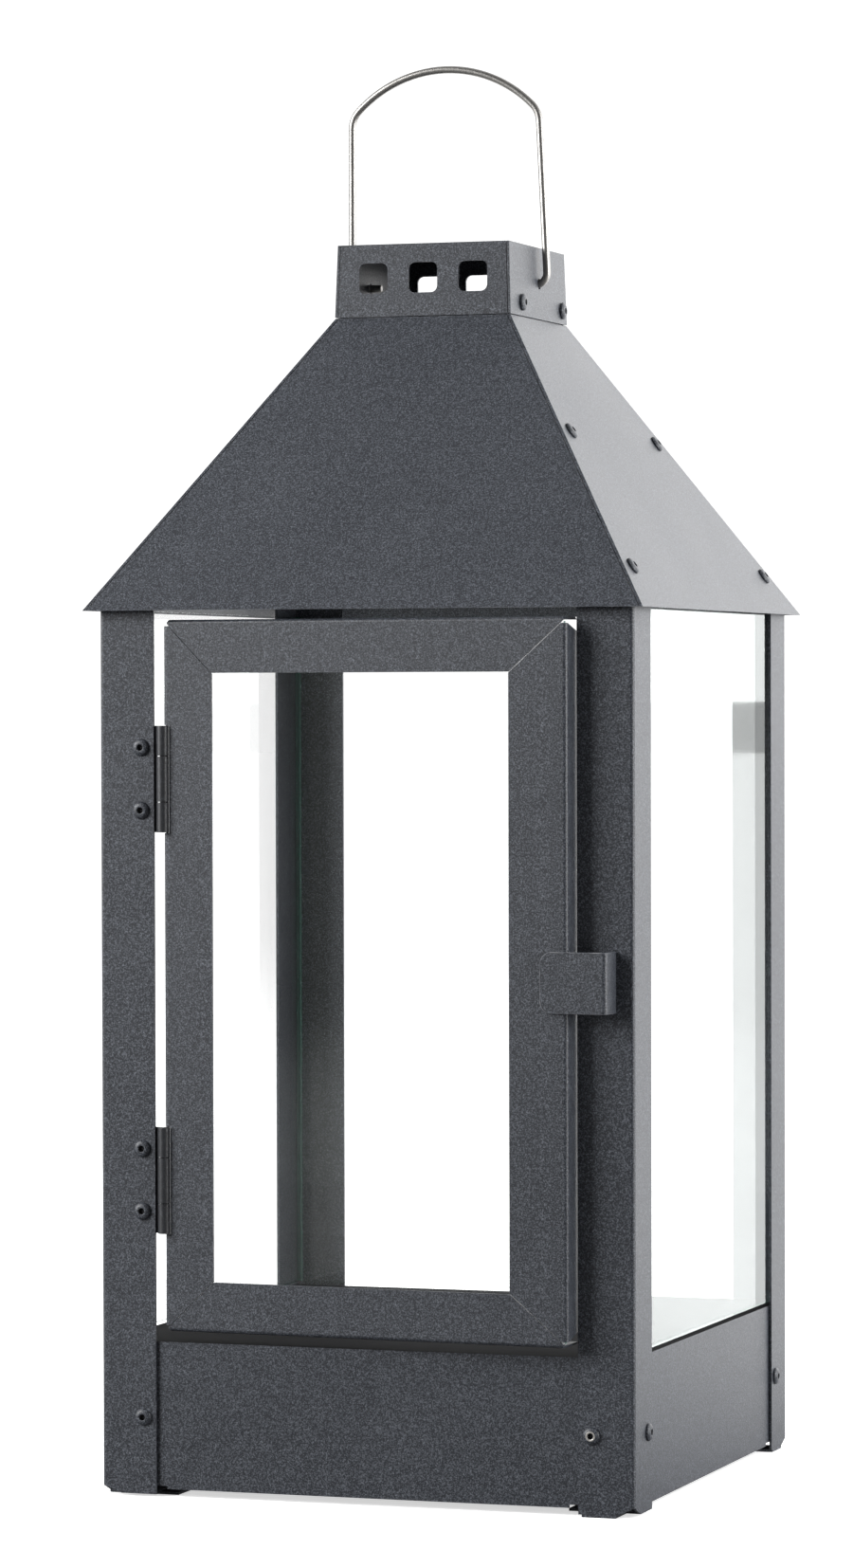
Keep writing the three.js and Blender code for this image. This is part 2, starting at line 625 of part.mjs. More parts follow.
place("latch_plate", latch(), "coat", door);

// ---- Bail handle ----
// From the left end inside the cap, up the left leg, over the arch and down.
function bailPath() {
  const left = -CAP_HALF - BAIL.leftGap;
  const right = CAP_HALF + BAIL.rightGap;
  const rightTop = right - BAIL.lean;
  const arch = {
    x: (left + rightTop) / 2 + BAIL_ARCH.skew,
    radius: (rightTop - left) / 2 + BAIL_ARCH.bulge,
  };
  const centreZ = PIVOT_Z + BAIL_ARCH.rise - arch.radius;
  const archZ = (x) => centreZ + Math.sqrt(arch.radius ** 2 - (x - arch.x) ** 2);
  const at = (x, z) => new THREE.Vector3(x, BAIL.pivotY, z);
  const inner = CAP_HALF - BAIL_END;
  const f = BAIL_FILLET;
  const path = new THREE.CurvePath();
  const line = (a, b) => path.add(new THREE.LineCurve3(a, b));
  const round = (a, corner, b) => path.add(new THREE.QuadraticBezierCurve3(a, corner, b));

  const leftStart = at(left + f.shoulder, archZ(left + f.shoulder));
  const leftLow = at(left, archZ(left) - f.shoulder);
  const rightStart = at(rightTop - f.shoulder, archZ(rightTop - f.shoulder));
  const rightLow = at(rightTop + 0.3, archZ(rightTop) - f.shoulder);
  line(at(-inner, PIVOT_Z), at(left + f.end, PIVOT_Z));
  round(at(left + f.end, PIVOT_Z), at(left, PIVOT_Z), at(left, PIVOT_Z + f.end));
  line(at(left, PIVOT_Z + f.end), leftLow);
  round(leftLow, at(left, archZ(left) + 1), leftStart);
  const from = Math.atan2(leftStart.z - centreZ, leftStart.x - arch.x);
  const to = Math.atan2(rightStart.z - centreZ, rightStart.x - arch.x);
  const arcPoints = Array.from({ length: 17 }, (_, i) => {
    const angle = from + ((to - from) * i) / 16;
    return at(arch.x + arch.radius * Math.cos(angle), centreZ + arch.radius * Math.sin(angle));
  });
  path.add(new THREE.CatmullRomCurve3(arcPoints));
  round(rightStart, at(rightTop, archZ(rightTop) + 1), rightLow);
  line(rightLow, at(right, PIVOT_Z + f.end));
  round(at(right, PIVOT_Z + f.end), at(right, PIVOT_Z), at(right - f.end, PIVOT_Z));
  line(at(right - f.end, PIVOT_Z), at(inner, PIVOT_Z));
  return path;
}

const wireSection = new THREE.Shape().absarc(0, 0, WIRE_RADIUS, 0, 2 * Math.PI);
const bail = new THREE.ExtrudeGeometry(wireSection, { steps: 72, curveSegments: 4, extrudePath: bailPath() });
place("bail_handle", toGeometry(toSolid(bail)), "bright");

// ---- Rivets ----
function rivet({ at, facing }) {
  const { head, dome, shank, seat, grip } = RIVET;
  const profile = [
    [0, dome],
    [0.7 * head, 0.9 * dome],
    [head, 0.3 * dome],
    [head, 0],
    [shank, 0],
    [shank, -grip],
    [0, -grip],
  ];
  const points = profile.reverse().map(([r, z]) => new THREE.Vector2(r, z + seat));
  const geometry = new THREE.LatheGeometry(points, RIVET_SIDES).rotateX(Math.PI / 2);
  return toGeometry(toSolid(turnTo(geometry, facing, at)));
}

function placeRivets(family, places) {
  places.forEach((spot, i) => place(`rivet_${family}_${i + 1}`, rivet(spot), "coat"));
}

const rivetSide = HALF - RIVET_INSET;
const skirtRivets = [0, 1, 2, 3].flatMap((turn) => [-1, 1].map((end) => {
  const axis = new THREE.Vector3(0, 0, 1);
  const angle = (turn * Math.PI) / 2;
  return {
    at: new THREE.Vector3(end * rivetSide, -HALF, SKIRT_RIVET_Z).applyAxisAngle(axis, angle),
    facing: new THREE.Vector3(0, -1, 0).applyAxisAngle(axis, angle),
  };
}));
const hingeRivets = hingeRivetHeights.map((z) => ({
  at: new THREE.Vector3(-rivetSide, -HALF, z),
  facing: new THREE.Vector3(0, -1, 0),
}));
placeRivets("skirt", skirtRivets);
placeRivets("hinge", hingeRivets);
placeRivets("roof", roofRivets);
placeRivets("cap", capRivets);

export default lantern;
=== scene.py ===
"""Candle lantern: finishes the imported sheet-steel lantern with its powder coat,
glass, blind rivets and wire bail, and sets the stage round it."""
import json
import math

import bmesh
import bpy
from bpy.props import FloatProperty, FloatVectorProperty, IntProperty, PointerProperty
from mathutils import Matrix, Vector


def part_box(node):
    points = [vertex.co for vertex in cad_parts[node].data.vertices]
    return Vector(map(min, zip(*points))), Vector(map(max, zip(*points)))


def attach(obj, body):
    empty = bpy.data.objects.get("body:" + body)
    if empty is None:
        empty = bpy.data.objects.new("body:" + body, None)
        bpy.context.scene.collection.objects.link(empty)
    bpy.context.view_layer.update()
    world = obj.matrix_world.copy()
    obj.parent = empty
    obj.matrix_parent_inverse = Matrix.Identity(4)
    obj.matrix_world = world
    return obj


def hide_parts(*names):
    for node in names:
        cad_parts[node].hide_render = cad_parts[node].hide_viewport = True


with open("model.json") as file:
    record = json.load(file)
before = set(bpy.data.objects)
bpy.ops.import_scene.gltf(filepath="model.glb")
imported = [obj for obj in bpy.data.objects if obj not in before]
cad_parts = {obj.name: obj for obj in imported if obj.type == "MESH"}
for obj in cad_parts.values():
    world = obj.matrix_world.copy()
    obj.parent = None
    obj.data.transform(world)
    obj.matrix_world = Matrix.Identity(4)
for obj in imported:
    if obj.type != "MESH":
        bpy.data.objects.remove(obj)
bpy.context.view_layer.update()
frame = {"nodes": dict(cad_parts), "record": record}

bl_info = {
    "name": "Candle Lantern",
    "version": (1, 0, 0),
    "blender": (4, 5, 0),
    "location": "View3D > Sidebar > Lantern",
    "description": "Finishes a glazed sheet-steel candle lantern with a wire bail",
    "category": "Object",
}

NODES = frame["nodes"]
BODIES = frame["record"]["behaviour"]["bodies"]
BODY_OF = {node: body for body, group in BODIES.items() for node in group}
SLOT_OF = {part["node"]: part["material_slot"] for part in frame["record"]["subparts"]}
MM = 0.001

# Vertices closer than this are one, and faces flatter than this are one wall.
WELD_GAP = 0.004 * MM
FLAT_ANGLE = math.radians(0.6)
# Sharper corners than this are cut edges, and gentler ones are part of a bend.
CUT_ANGLE = math.radians(32)
# What one face of a pane mirrors straight on.
FACE_MIRROR = 0.043


# ---- Settings ----

class LanternSizes(bpy.types.PropertyGroup):
    """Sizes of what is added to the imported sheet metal."""

    sheet_edge: FloatProperty(
        name="Sheet edge", description="Rounding of the sheet's cut edges",
        default=0.22 * MM, unit="LENGTH")
    rivet_head: FloatProperty(
        name="Rivet head", description="Radius of a rivet's head", default=3.3 * MM, unit="LENGTH")
    rivet_dome: FloatProperty(
        name="Rivet dome", description="Height of a rivet's head", default=1.45 * MM, unit="LENGTH")
    rivet_mouth: FloatProperty(
        name="Rivet mouth", description="Radius of the hollow in a rivet's head",
        default=1.15 * MM, unit="LENGTH")
    rivet_depth: FloatProperty(
        name="Rivet depth", description="Depth of the hollow in a rivet's head",
        default=1.7 * MM, unit="LENGTH")
    wire: FloatProperty(
        name="Bail wire", description="Radius of the bail's wire", default=1.45 * MM, unit="LENGTH")
    wire_sides: IntProperty(
        name="Wire sides", description="Facets round the bail's wire", default=20, min=8)
    shoulder: FloatProperty(
        name="Bail shoulder", description="Radius of the bend between a leg and the arch",
        default=10 * MM, unit="LENGTH")
    foot_bend: FloatProperty(
        name="Bail foot bend", description="Radius of the bend into the cap",
        default=4.5 * MM, unit="LENGTH")


class LanternColours(bpy.types.PropertyGroup):
    """Colours of the lantern's finishes."""

    coat: FloatVectorProperty(
        name="Powder coat", description="Anthracite of the coating", subtype="COLOR",
        default=(0.010, 0.012, 0.017))
    fleck: FloatVectorProperty(
        name="Fleck", description="Lighter grains in the coating", subtype="COLOR",
        default=(0.105, 0.115, 0.135))
    bare: FloatVectorProperty(
        name="Bare steel", description="Steel where the coat is rubbed off", subtype="COLOR",
        default=(0.62, 0.60, 0.57))
    hinge: FloatVectorProperty(
        name="Hinge coat", description="Thin dark coat of the hinges", subtype="COLOR",
        default=(0.016, 0.017, 0.020))
    # Painted highlight: the lighter coat painted along cut edges and folds.
    edge_highlight_colour: FloatVectorProperty(
        name="Thin coat", description="Coat where it is thin, along edges and folds",
        subtype="COLOR", default=(0.055, 0.060, 0.072))
    # The brightest patches of that painted edge highlight.
    edge_highlight_peak: FloatVectorProperty(
        name="Rubbed coat", description="Coat rubbed down towards the steel", subtype="COLOR",
        default=(0.30, 0.30, 0.31))
    wire: FloatVectorProperty(
        name="Bail wire", description="Drawn stainless wire", subtype="COLOR",
        default=(0.34, 0.33, 0.315))
    glass_edge: FloatVectorProperty(
        name="Glass edge", description="Green of the panes' cut edges", subtype="COLOR",
        default=(0.05, 0.14, 0.11))
    floor: FloatVectorProperty(
        name="Floor", description="Pale floor", subtype="COLOR", default=(0.9, 0.9, 0.9))


class LanternLights(bpy.types.PropertyGroup):
    """Strengths of the studio's lights."""

    sky_front: FloatProperty(
        name="Sky in front", description="Brightness of the studio in front of the lantern",
        default=0.15)
    sky_back: FloatProperty(
        name="Sky behind", description="Brightness of the studio behind the lantern",
        default=1.15)
    sky_seen: FloatProperty(
        name="Sky seen", description="Brightness of the studio as the camera sees it",
        default=1.2)
    back: FloatProperty(
        name="Back light", description="Power of the broad light behind the right side",
        default=85.0, unit="POWER")
    side: FloatProperty(
        name="Side light", description="Power of the light at the right side",
        default=34.0, unit="POWER")
    fill: FloatProperty(
        name="Fill light", description="Power of the light at the front of the left side",
        default=115.0, unit="POWER")


# ---- Shader building ----

class Wire:
    """A socket that Python arithmetic joins to new Math nodes."""

    def __init__(self, net, socket):
        self.net = net
        self.socket = socket

    def maths(self, operation, *values):
        node = self.net.node("ShaderNodeMath", {"operation": operation}, dict(enumerate(values)))
        return Wire(self.net, node.outputs[0])

    def __add__(self, other):
        return self.maths("ADD", self, other)

    def __sub__(self, other):
        return self.maths("SUBTRACT", self, other)

    def __rsub__(self, other):
        return self.maths("SUBTRACT", other, self)

    def __mul__(self, other):
        return self.maths("MULTIPLY", self, other)

    def __pow__(self, other):
        return self.maths("POWER", self, other)

    __radd__ = __add__
    __rmul__ = __mul__

    def at_least(self, other):
        return self.maths("MAXIMUM", self, other)

    def band(self, low, high):
        """0 below low, 1 above high and smooth between."""
        node = self.net.node(
            "ShaderNodeMapRange", {"interpolation_type": "SMOOTHSTEP"},
            {"Value": self, "From Min": low, "From Max": high})
        return Wire(self.net, node.outputs[0])


class Nodes:
    """A node tree and the ways to add to it."""

    def __init__(self, tree):
        self.tree = tree

    def put(self, socket, value):
        if isinstance(value, Wire):
            self.tree.links.new(value.socket, socket)
        elif socket.type == "RGBA" and len(value) == 3:
            socket.default_value = (*value, 1.0)
        else:
            socket.default_value = value

    def node(self, kind, settings, sockets):
        made = self.tree.nodes.new(kind)
        for key, value in settings.items():
            setattr(made, key, value)
        for key, value in sockets.items():
            self.put(made.inputs[key], value)
        return made

    def out(self, kind, settings, sockets, output=0):
        return Wire(self, self.node(kind, settings, sockets).outputs[output])

    def place(self, output="Object"):
        return self.out("ShaderNodeTexCoord", {}, {}, output)

    def noise(self, scale, detail=2.0, roughness=0.5):
        sockets = {"Vector": self.place(), "Scale": scale, "Detail": detail, "Roughness": roughness}
        return self.out("ShaderNodeTexNoise", {}, sockets)

    def mix(self, amount, first, second):
        sockets = {0: amount, 6: first, 7: second}
        return self.out("ShaderNodeMix", {"data_type": "RGBA"}, sockets, 2)

    def axis(self, vector, name):
        return self.out("ShaderNodeSeparateXYZ", {}, {0: vector}, name)


class Net(Nodes):
    """A material's node tree, with its Principled BSDF ready."""

    def __init__(self, name, **constants):
        self.material = bpy.data.materials.new(name)
        self.material.use_nodes = True
        super().__init__(self.material.node_tree)
        self.shader = self.tree.nodes["Principled BSDF"]
        for socket, value in constants.items():
            self.feed(socket.replace("_", " "), value)

    def feed(self, socket, value):
        self.put(self.shader.inputs[socket], value)

    def patch(self, mask, colour, roughness, specular):
        """Another plain finish wherever the mask is 1."""
        sockets = {"Base Color": colour, "Roughness": roughness, "Specular IOR Level": specular}
        other = self.node("ShaderNodeBsdfPrincipled", {}, sockets)
        pair = {0: mask, 1: Wire(self, self.shader.outputs[0]), 2: Wire(self, other.outputs[0])}
        blend = self.out("ShaderNodeMixShader", {}, pair)
        self.put(self.tree.nodes["Material Output"].inputs[0], blend)

    def bump(self, height, distance, strength=1.0):
        sockets = {"Height": height, "Distance": distance, "Strength": strength}
        self.feed("Normal", self.out("ShaderNodeBump", {}, sockets))


def powder_coat(name, coarse=1.0, painted_shade_on_top=False):
    """Anthracite coating: a fine orange-peel skin with lighter grains baked into it, and, when asked,
    painted shade on faces that look upward.
    """
    colours = bpy.context.scene.lantern_colours
    net = Net(name, Specular_IOR_Level=0.45)
    grain = net.noise(1450 * coarse, 2.0, 0.7)
    fleck = net.noise(2100 * coarse, 1.0)
    cloud = net.noise(14, 2.0)
    light = grain.band(0.47, 0.64) * 0.50 + fleck.band(0.54, 0.66) * 0.58 + (cloud - 0.5) * 0.14
    net.feed("Base Color", net.mix(light, tuple(colours.coat), tuple(colours.fleck)))
    net.feed("Roughness", 0.36 + grain * 0.20 + (cloud - 0.5) * 0.08)
    skin = net.noise(620 * coarse, 2.0)
    net.bump(grain * 0.9 + skin * 0.5, 0.10 * MM, 0.7)
    # Painted shade: faces that look upward get a dull near-black, standing in for the shade that falls
    # on the tray's floor inside the lantern.
    if painted_shade_on_top:
        upward_shade_mask = net.axis(net.place("Normal"), "Z").band(0.7, 0.9)
        painted_shade_colour = net.mix(cloud, (0.006, 0.006, 0.007), (0.016, 0.016, 0.017))
        net.patch(upward_shade_mask, painted_shade_colour, 0.85, 0.04)
    return net.material


def painted_edge_highlight(name):
    """A lighter coat painted along cut edges and folds as a painted highlight, lighter still in random
    patches.
    """
    colours = bpy.context.scene.lantern_colours
    net = Net(name, Specular_IOR_Level=0.5)
    cloud = net.noise(160, 4.0, 0.6)
    grain = net.noise(1250, 2.0, 0.7)
    # Random patches along the edges where the painted highlight is lighter still.
    lighter_patches = (cloud.band(0.42, 0.62) * 0.55 + cloud.band(0.66, 0.70) * 0.45) * (0.5 + grain)
    shades = tuple(colours.edge_highlight_colour), tuple(colours.edge_highlight_peak)
    net.feed("Base Color", net.mix(lighter_patches, *shades))
    net.feed("Roughness", 0.34 + grain * 0.16)
    net.bump(grain, 0.06 * MM, 0.5)
    return net.material


def clear_glass(name):
    """Float glass: a mirror of Schlick's strength across its face, green along its cut edges."""
    colours = bpy.context.scene.lantern_colours
    net = Net(name)
    haze = net.noise(9, 3.0).band(0.45, 0.8)
    edge = net.out("ShaderNodeAttribute", {"attribute_name": "cut_edge"}, {}, "Fac")
    facing = net.out("ShaderNodeLayerWeight", {}, {"Blend": 0.5}, "Facing")
    mirror = FACE_MIRROR + (1 - FACE_MIRROR) * facing ** 5
    net.feed("Base Color", net.mix(edge, (0.93, 0.97, 0.96), tuple(colours.glass_edge)))
    net.feed("Metallic", 1 - edge)
    net.feed("Roughness", 0.02 + haze * 0.03)
    net.feed("Alpha", (edge * 0.82).at_least(mirror + haze * 0.004))
    return net.material


def hinge_coat(name):
    """A thin, smooth dark coat, rubbed lighter in patches."""
    colours = bpy.context.scene.lantern_colours
    net = Net(name, Specular_IOR_Level=0.5)
    cloud = net.noise(420, 4.0, 0.6)
    fine = net.noise(1700, 2.0)
    lighter_patches = tuple(4.5 * c for c in colours.hinge)
    wear = cloud.band(0.55, 0.75) * 0.5 + fine.band(0.55, 0.7) * 0.35
    net.feed("Base Color", net.mix(wear, tuple(colours.hinge), lighter_patches))
    net.feed("Roughness", 0.32 + cloud * 0.18)
    net.bump(fine, 0.04 * MM, 0.5)
    return net.material


def drawn_wire(name):
    """Stainless wire with drawing lines along the pull."""
    colours = bpy.context.scene.lantern_colours
    net = Net(name, Metallic=1.0)
    squeezed = net.out("ShaderNodeMapping", {}, {"Vector": net.place(), "Scale": (1.0, 1.0, 0.06)})
    lines = net.out("ShaderNodeTexNoise", {}, {"Vector": squeezed, "Scale": 4200.0, "Detail": 2.0})
    cloud = net.noise(90, 3.0)
    dark = tuple(0.7 * c for c in colours.wire)
    net.feed("Base Color", net.mix(lines.band(0.35, 0.7), dark, tuple(colours.wire)))
    net.feed("Roughness", 0.30 + lines * 0.10 + cloud * 0.06)
    net.bump(lines, 0.02 * MM, 0.35)
    return net.material


def bare_steel(name):
    """Steel that shows where the coat has been rubbed or chipped away."""
    colours = bpy.context.scene.lantern_colours
    net = Net(name, Metallic=0.85)
    cloud = net.noise(900, 3.0)
    dark = tuple(0.6 * c for c in colours.bare)
    net.feed("Base Color", net.mix(cloud, dark, tuple(colours.bare)))
    net.feed("Roughness", 0.28 + cloud * 0.2)
    net.bump(cloud, 0.02 * MM, 0.4)
    return net.material


def hollow_painted_shade(name):
    """Near-black colour painted down in the hollow of a rivet: painted shade over dull steel."""
    net = Net(name, Metallic=0.5)
    cloud = net.noise(1100, 2.0)
    net.feed("Base Color", net.mix(cloud, (0.012, 0.012, 0.014), (0.05, 0.05, 0.055)))
    net.feed("Roughness", 0.55 + cloud * 0.2)
    net.bump(cloud, 0.03 * MM, 0.4)
    return net.material


def floor_paint(name):
    """Matt pale floor with a very faint mottling, which throws little light back at the front."""
    colours = bpy.context.scene.lantern_colours
    net = Net(name, Specular_IOR_Level=0.2, Emission_Strength=1.0)
    seen = net.out("ShaderNodeLightPath", {}, {}, "Is Camera Ray")
    cloud = net.noise(3, 3.0)
    shade = tuple(0.985 * c for c in colours.floor)
    pale = net.mix(cloud, shade, tuple(colours.floor))
    net.feed("Base Color", net.mix(seen, (0.13, 0.13, 0.13), pale))
    net.feed("Roughness", 0.75 + cloud * 0.1)
    behind = net.axis(net.place(), "Y").band(-0.15, 0.55)
    thrown = net.mix(behind, (0.05, 0.05, 0.05), (2.0, 2.0, 2.0))
    net.feed("Emission Color", net.mix(seen, thrown, (0.62, 0.62, 0.62)))
    return net.material


# ---- Shared making ----

def clothe(node, *materials):
    """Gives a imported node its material, and a second one for its rounded edges if it has one."""
    piece = NODES[node]
    piece.data.materials.clear()
    for material in materials:
        piece.data.materials.append(material)
    return piece


def soften(piece, width):
    """Joins the loose triangles, rounds cut edges and keeps walls flat beside their bends."""
    weld = piece.modifiers.new("weld", "WELD")
    weld.merge_threshold = WELD_GAP
    flat = piece.modifiers.new("flat", "DECIMATE")
    flat.decimate_type = "DISSOLVE"
    flat.angle_limit = FLAT_ANGLE
    edge = piece.modifiers.new("edge", "BEVEL")
    edge.width = width
    edge.segments = 2
    edge.limit_method = "ANGLE"
    edge.angle_limit = CUT_ANGLE
    # Bevel faces take the last material, which on the sheet metal is the painted edge highlight.
    edge.material = len(piece.data.materials) - 1
    level = piece.modifiers.new("level", "WEIGHTED_NORMAL")
    level.mode = "FACE_AREA"
    level.weight = 90
    for face in piece.data.polygons:
        face.use_smooth = True


def nodes_in(slot):
    return [node for node in sorted(NODES) if SLOT_OF[node] == slot]


def finish_piece(name, mesh, node, materials):
    """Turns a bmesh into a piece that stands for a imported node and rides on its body."""
    data = bpy.data.meshes.new(name)
    mesh.to_mesh(data)
    mesh.free()
    for material in materials:
        data.materials.append(material)
    piece = bpy.data.objects.new(name, data)
    bpy.context.scene.collection.objects.link(piece)
    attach(piece, BODY_OF[node])
    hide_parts(node)
    return piece


# ---- Operators ----

class LANTERN_OT_sheet_metal(bpy.types.Operator):
    """Coats the posts, tray, roof, cap, door frame and latch"""

    bl_idname = "lantern.sheet_metal"
    bl_label = "Sheet Metal"

    def execute(self, context):
        sizes = context.scene.lantern_sizes
        coat = powder_coat("anthracite_coat")
        # The tray's coat has painted shade on its upward faces.
        tray_coat_painted_shade = powder_coat("tray_painted_shade_coat", painted_shade_on_top=True)
        # Rounded edges get a lighter coat as a painted highlight.
        highlight_edge_coat = painted_edge_highlight("painted_edge_highlight")
        for node in nodes_in("powder_coat"):
            soften(clothe(node, tray_coat_painted_shade if node == "base_tray" else coat, highlight_edge_coat), sizes.sheet_edge)
        return {"FINISHED"}


class LANTERN_OT_glazing(bpy.types.Operator):
    """Makes the four panes clear, with green cut edges"""

    bl_idname = "lantern.glazing"
    bl_label = "Glazing"

    def execute(self, context):
        glass = clear_glass("float_glass")
        for node in nodes_in("glass"):
            piece = clothe(node, glass)
            low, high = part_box(node)
            size = high - low
            thin = 0 if size.x < size.y else 1
            marks = piece.data.attributes.new("cut_edge", "FLOAT", "FACE")
            for face in piece.data.polygons:
                marks.data[face.index].value = 1.0 if abs(face.normal[thin]) < 0.7 else 0.0
        return {"FINISHED"}


class LANTERN_OT_hinges(bpy.types.Operator):
    """Coats the hinges' leaves and pins"""

    bl_idname = "lantern.hinges"
    bl_label = "Hinges"

    def execute(self, context):
        sizes = context.scene.lantern_sizes
        coat = hinge_coat("hinge_coat")
        for node in nodes_in("hinge_steel") + nodes_in("hinge_pin"):
            soften(clothe(node, coat), 0.9 * sizes.sheet_edge)
        return {"FINISHED"}


class LANTERN_OT_rivets(bpy.types.Operator):
    """Builds a hollow dome-headed blind rivet on every rivet's place"""

    bl_idname = "lantern.rivets"
    bl_label = "Blind Rivets"

    # The coat has come off round the hollow of this one.
    WORN = "rivet_skirt_2"
    # Height of a packed rivet's dome over its sheet.
    PACKED_DOME = 1.2 * MM

    def facing(self, node):
        """The way out of the sheet: straight out of a wall, or square to a roof panel."""
        low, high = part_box(node)
        middle = (low + high) / 2
        if node.startswith("rivet_roof"):
            panel = NODES["roof_right" if middle.x > 0 else "roof_left"].data
            normal = max(panel.polygons, key=lambda face: face.area).normal.copy()
            return normal if normal.z > 0 else -normal
        sideways = abs(middle.x) > abs(middle.y) or node.startswith("rivet_cap")
        if sideways:
            return Vector((math.copysign(1, middle.x), 0, 0))
        return Vector((0, math.copysign(1, middle.y), 0))

    def seat(self, node, facing, dome):
        """The matrix that stands a rivet drawn along Z on its sheet."""
        points = [v.co for v in NODES[node].data.vertices]
        corners = {tuple(round(c, 6) for c in point) for point in points}
        centre = sum((Vector(c) for c in corners), Vector()) / len(corners)
        top = max(Vector(c).dot(facing) for c in corners)
        base = centre + facing * (top - dome - centre.dot(facing))
        turn = facing.to_track_quat("Z", "Y").to_matrix().to_4x4()
        return Matrix.Translation(base) @ turn

    def profile(self, sizes):
        """Half section of the rivet: shank, flat underside, dome, lip and hollow."""
        head, dome, mouth = sizes.rivet_head, sizes.rivet_dome, sizes.rivet_mouth
        shank, tail = 1.55 * MM, -3.6 * MM
        lip, rim, fine = 0.18 * MM, 0.12 * MM, 0.05 * MM
        points = [(0, tail), (shank, tail), (shank, 0), (head - 2 * fine, 0), (head, rim)]
        for step in range(1, 7):
            swing = math.radians(15 * step)
            across = mouth + lip + (head - mouth - lip) * math.cos(swing)
            points.append((across, rim + (dome - rim) * math.sin(swing)))
        points += [(mouth + fine, dome - fine), (mouth, dome - lip)]
        floor = dome - sizes.rivet_depth
        points += [(mouth, floor), (0.75 * mouth, floor + fine)]
        points += [(0.7 * mouth, floor + 7 * fine), (0, floor + 9 * fine)]
        return points

    def execute(self, context):
        sizes = context.scene.lantern_sizes
        materials = [
            powder_coat("rivet_coat", 1.2), hollow_painted_shade("rivet_hollow_painted_shade"), bare_steel("rubbed_steel")]
        bottom = sizes.rivet_dome - 1.1 * sizes.rivet_depth
        for node in nodes_in("rivet"):
            mesh = bmesh.new()
            points = [mesh.verts.new((r, 0, z)) for r, z in self.profile(sizes)]
            edges = [mesh.edges.new(pair) for pair in zip(points, points[1:])]
            bmesh.ops.spin(
                mesh, geom=points + edges, cent=(0, 0, 0), axis=(0, 0, 1),
                angle=2 * math.pi, steps=28, use_merge=True)
            bmesh.ops.remove_doubles(mesh, verts=mesh.verts, dist=0.000001)
            bmesh.ops.recalc_face_normals(mesh, faces=mesh.faces)
            for face in mesh.faces:
                face.smooth = True
                centre = face.calc_center_median()
                radius = math.hypot(centre.x, centre.y)
                # Faces down in the hollow take the painted shade.
                if radius < 1.01 * sizes.rivet_mouth and centre.z > bottom:
                    face.material_index = 1
                elif radius < 1.5 * sizes.rivet_mouth and centre.z > 0.5 * sizes.rivet_dome:
                    face.material_index = 2 if node == self.WORN else 0
            facing = self.facing(node)
            seat = self.seat(node, facing, self.PACKED_DOME)
            bmesh.ops.transform(mesh, matrix=seat, verts=mesh.verts)
            finish_piece(node.replace("rivet", "blind_rivet"), mesh, node, materials)
        return {"FINISHED"}


